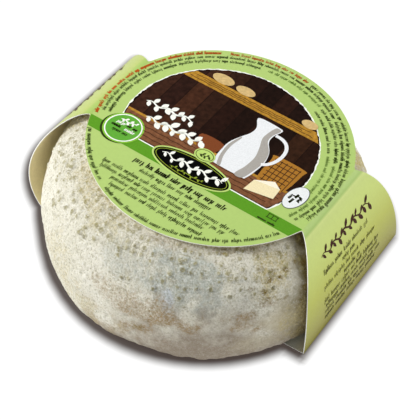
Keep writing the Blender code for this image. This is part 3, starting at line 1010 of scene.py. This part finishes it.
def printBadges():
    # the round badge, the plaque with a leaf crest on its upper edge, and the white oval
    middle, badge = (0, 0), label["badgeRadius"]
    width, height = label["plaqueSize"]
    crest, turn = label["crest"], label["ovalTurn"]
    ovalWidth, ovalHeight = label["ovalSize"]
    edge = label["ovalEdge"]
    fields = {
        # name, colour, level, whether it is scored to bend, and shapes round the field's middle
        "badge": [
            ("BadgeShadow", "ShadowGreen", 2, True, [(addOval, (-0.9, -0.8), badge, badge)]),
            ("BadgeRim", "BadgeLight", 3, True, [(addOval, middle, badge, badge)]),
            ("Badge", "BadgeGreen", 4, True, [(addOval, middle, badge - 0.7, badge - 0.7)]),
            ("BadgeRing", "InkWhite", 5, False, [(addRing, middle, (badge - 1.55, badge - 1.55), 0.7)]),
            ("BadgeSprig", "InkWhite", 5, False,
             [(addSprig, (-4.6, 4.6), (4.6, 5.0), 6, (2.4, 1.3), 0.4, 0.7)]),
        ],
        "plaque": [
            ("PlaqueRim", "RimGreen", 5, True, [(addOval, middle, width + 1.0, height + 1.0, 0.0, 80)]),
            ("Plaque", "PlaqueBlack", 6, True, [(addOval, middle, width, height, 0.0, 80)]),
            ("PlaqueLine", "PlaqueOlive", 7, False, [(addRing, middle, (width - 1.3, height - 1.3), 0.35)]),
            ("PlaqueSprig", "InkWhite", 7, False,
             [(addSprig, (-17.5, 0.6), (17.5, 1.0), 14, (4.3, 2.1), 1.1, 1.0)]),
            ("PlaqueCrest", "RimGreen", 8, False, [(addOval, crest, 5.6, 4.3)]),
            ("PlaqueCrestLeaf", "DarkOlive", 9, False,
             [(addRing, crest, (4.5, 3.2), 0.35),
              (addSprig, (-2.4, 10.4), (3.2, 11.6), 5, (2.0, 1.1), 0.3, 0.4)]),
            ("PlaqueSmallSprig", "PlaqueOlive", 7, False,
             [(addSprig, (-9.5, -4.4), (9.5, -4.2), 10, (1.7, 0.8), 0.2, 0.4)]),
        ],
        "oval": [
            ("OvalEdge", "OvalGrey", 3, True,
             [(addOval, middle, ovalWidth + edge, ovalHeight + edge, turn)]),
            ("Oval", "OvalWhite", 4, True, [(addOval, middle, ovalWidth, ovalHeight, turn)]),
        ],
    }
    for place, rows in fields.items():
        for name, colour, level, scored, shapes in rows:
            layInk(name, colour, level, shapes, scored, label[place])


def printPanels():
    x = label["flourish"]
    for name, side in (("RightFlourish", 1), ("LeftFlourish", -1)):
        sprig = (addSprig, (side * x, -side * 23), (side * x, side * 22), 19, (4.8, 2.0), 1.0, 1.0)
        layInk(name, "TitleBrown", 2, [sprig])


# Camera, light and floor

view = {
    "target": (6.1 * mm, 8.5 * mm, 31.45 * mm), "distance": 677.4 * mm,
    "azimuth": math.radians(33.829), "elevation": math.radians(47.668), "roll": math.radians(0.311),
    "lens": 113.07, "sensor": 36.0, "shift": (-0.0258, -0.0605),
}


def viewBack():
    azimuth, elevation = view["azimuth"], view["elevation"]
    return Vector((math.sin(azimuth) * math.cos(elevation), -math.cos(azimuth) * math.cos(elevation),
                   math.sin(elevation)))


def makeCamera():
    azimuth, roll, back = view["azimuth"], view["roll"], viewBack()
    level = Vector((math.cos(azimuth), math.sin(azimuth), 0))
    up = back.cross(level)
    right = math.cos(roll) * level + math.sin(roll) * up
    up = back.cross(right)
    data = bpy.data.cameras.new("photoCamera")
    data.lens = view["lens"]
    data.sensor_width = view["sensor"]
    data.shift_x, data.shift_y = view["shift"]
    camera = bpy.data.objects.new("photoCamera", data)
    place = Vector(view["target"]) + back * view["distance"]
    camera.matrix_world = Matrix.Translation(place) @ Matrix((right, up, back)).transposed().to_4x4()
    bpy.context.scene.collection.objects.link(camera)
    bpy.context.scene.camera = camera


lamps = {
    "aim": Vector((0, 0, 30 * mm)), "away": 1.0, "size": 0.5, "colour": (1.0, 0.99, 0.97),
    # name, bearing and rise of the way to the light in degrees, power
    "softboxes": [("keySoftbox", -152, 42, 8.8), ("rightSoftbox", 54, 38, 4.2)],
    # the room's light, from level with the floor behind the part to straight down on it
    "room": {1: 0.0, 2: -0.9, 3: 0.85, 4: 0.12},
}


def makeLights():
    # a large softbox to the left of the camera, a weaker one to the right, and a pale room
    for name, bearing, rise, power in lamps["softboxes"]:
        direction, climb = math.radians(bearing), math.radians(rise)
        toward = Vector((math.cos(direction) * math.cos(climb), math.sin(direction) * math.cos(climb),
                         math.sin(climb)))
        data = bpy.data.lights.new(name, "AREA")
        data.shape = "DISK"
        data.size = lamps["size"]
        data.energy = power
        data.color = lamps["colour"]
        light = bpy.data.objects.new(name, data)
        light.location = lamps["aim"] + toward * lamps["away"]
        light.rotation_euler = (-toward).to_track_quat("-Z", "Y").to_euler()
        bpy.context.scene.collection.objects.link(light)
    world = bpy.data.worlds.new("paleRoom")
    world.use_nodes = True
    gaze = addNode(world, "NewGeometry", {})
    parts = addNode(world, "SeparateXYZ", {0: gaze.outputs["Incoming"]})
    fade = addNode(world, "MapRange", {0: parts.outputs[2], **lamps["room"]})
    setInputs(world.node_tree.nodes["Background"], {"Color": (1, 1, 1, 1), "Strength": fade.outputs[0]})
    bpy.context.scene.world = world
    bpy.context.scene.view_settings.view_transform = "Standard"


# painted shadow: a soft dark line painted on the floor round the part, as wide as seen from the camera
paintedShadow = {
    "cell": 2.5 * mm, "cells": 56, "longCells": 2, "longStep": 0.7,
    "width": 5.7 * mm, "colour": (0.066, 0.05, 0.044), "fadeFrom": 28 * mm, "drop": 0.1 * mm,
    # for each: how far it moves right and up, how much narrower it is, and more so to the upper right
    "wheel": (-0.7 * mm, -1.2 * mm, 0, 0.08), "card": (-1.1 * mm, -1.9 * mm, 1.1 * mm, 0.01),
}


def paintedShadowGridStep(index):
    # even cells near the part, then a few long ones to the floor's edge
    even = paintedShadow["cells"] - paintedShadow["longCells"]
    beyond = max(abs(index) - even, 0)
    return math.copysign(min(abs(index), even) * paintedShadow["cell"] + paintedShadow["longStep"] * beyond**2, index)


def acrossView(point):
    # a place on the floor as the camera sees it: to the right, and up the picture
    azimuth = view["azimuth"]
    right = Vector((math.cos(azimuth), math.sin(azimuth)))
    away = Vector((-right.y, right.x))
    return Vector((point.xy.dot(right), point.xy.dot(away) * math.sin(view["elevation"])))


def paintedShadowEdges():
    # the outlines of the wheel and of the sleeve's panels as cast on the floor from the camera, for the
    # painted shadow
    eye = Vector(view["target"]) + viewBack() * view["distance"]
    turns = [2 * math.pi * step / 60 for step in range(60)]
    bodies = [[settle(Vector((ring.x * math.cos(turn), ring.x * math.sin(turn), ring.y)))
               for ring in rindOutline()[::6] for turn in turns]]
    bottom = []
    foot = sleeve["discSteps"] + sleeve["panelSteps"]
    for side in (1, -1):
        rows = paths[side][sleeve["discSteps"]:foot + 1:3]
        bodies.append([wrap(side * row[0], edge * row[3], 0) for row in rows for edge in (-1, 1)])
        bottom += [wrap(side * row[0], edge * row[3], 0) for row in paths[side][foot:] for edge in (-1, 1)]
    bodies.append(bottom)
    hulls = []
    for points in bodies:
        right, up, *narrower = paintedShadow["card" if hulls else "wheel"]
        cast = [acrossView(eye + (point - eye) * eye.z / (eye.z - point.z)) + Vector((right, up))
                for point in points]
        ring = [cast[index] for index in convex_hull_2d(cast)]
        hull = []
        for a, b in zip(ring, ring[1:] + ring[:1]):
            hull.append((a, b - a, Vector(((b - a).y, -(b - a).x)).normalized()))
        hulls.append((hull, *narrower))
    return hulls


def hullDistance(place, hull):
    # from a convex outline out to a place, less than nothing inside it
    level = max((place - a).dot(normal) for a, along, normal in hull)
    if not 0 < level < 2 * paintedShadow["width"]:
        return level
    shares = [min(max((place - a).dot(along) / along.length_squared, 0), 1) for a, along, normal in hull]
    return min((place - a - along * share).length for (a, along, normal), share in zip(hull, shares))


def makeLightTable():
    # backlit white acrylic, with a painted soft shadow close round the part
    cells = paintedShadow["cells"]
    ground = bmesh.new()
    bmesh.ops.create_grid(ground, x_segments=2 * cells, y_segments=2 * cells, size=cells)
    nearness = ground.verts.layers.float.new("paintedShadowDistance")
    edges = paintedShadowEdges()
    for vert in ground.verts:
        vert.co = [paintedShadowGridStep(value) for value in vert.co.xy] + [-paintedShadow["drop"]]
        place = acrossView(vert.co)
        behind = max(place.x + place.y - paintedShadow["fadeFrom"], 0)
        vert[nearness] = min(hullDistance(place, hull) + lap + fade * behind for hull, lap, fade in edges)
    mesh = bpy.data.meshes.new("studioFloor")
    ground.to_mesh(mesh)
    ground.free()
    material, shader = newMaterial("lightTable")
    distance = addNode(material, "Attribute", {}, attribute_name="paintedShadowDistance").outputs["Fac"]
    # painted shadow: from its dark colour at the outlines to white across its width
    paintedShadowFade = addNode(material, "MapRange", {0: distance, 2: paintedShadow["width"]}, interpolation_type="SMOOTHSTEP")
    inputs = {0: paintedShadowFade.outputs[0], 6: (*paintedShadow["colour"], 1), 7: (1, 1, 1, 1)}
    shade = addNode(material, "Mix", inputs, data_type="RGBA")
    setInputs(shader, {"Emission Color": shade.outputs[2], "Emission Strength": 1,
                       "Base Color": (0.03, 0.028, 0.027, 1), "Roughness": 0.8})
    mesh.materials.append(material)
    floor = bpy.data.objects.new("studioFloor", mesh)
    bpy.context.scene.collection.objects.link(floor)


makeCamera()
makeLights()
makeLightTable()
print("camera, light and floor ready")
makeWheel(makeRindMaterial())
makeSleeve([makePrintedCard(), makeCardStock("uncoatedBoardBack", None, 0.8, 0.04, 1.2 * mm),
            makeCardStock("cutBoardEdge", "fcfcf6", 0.7, 0.02, 0.3 * mm)])
printStripe()
printPicture()
printBadges()
printPanels()
printSmallText()
print("print laid on the sleeve")
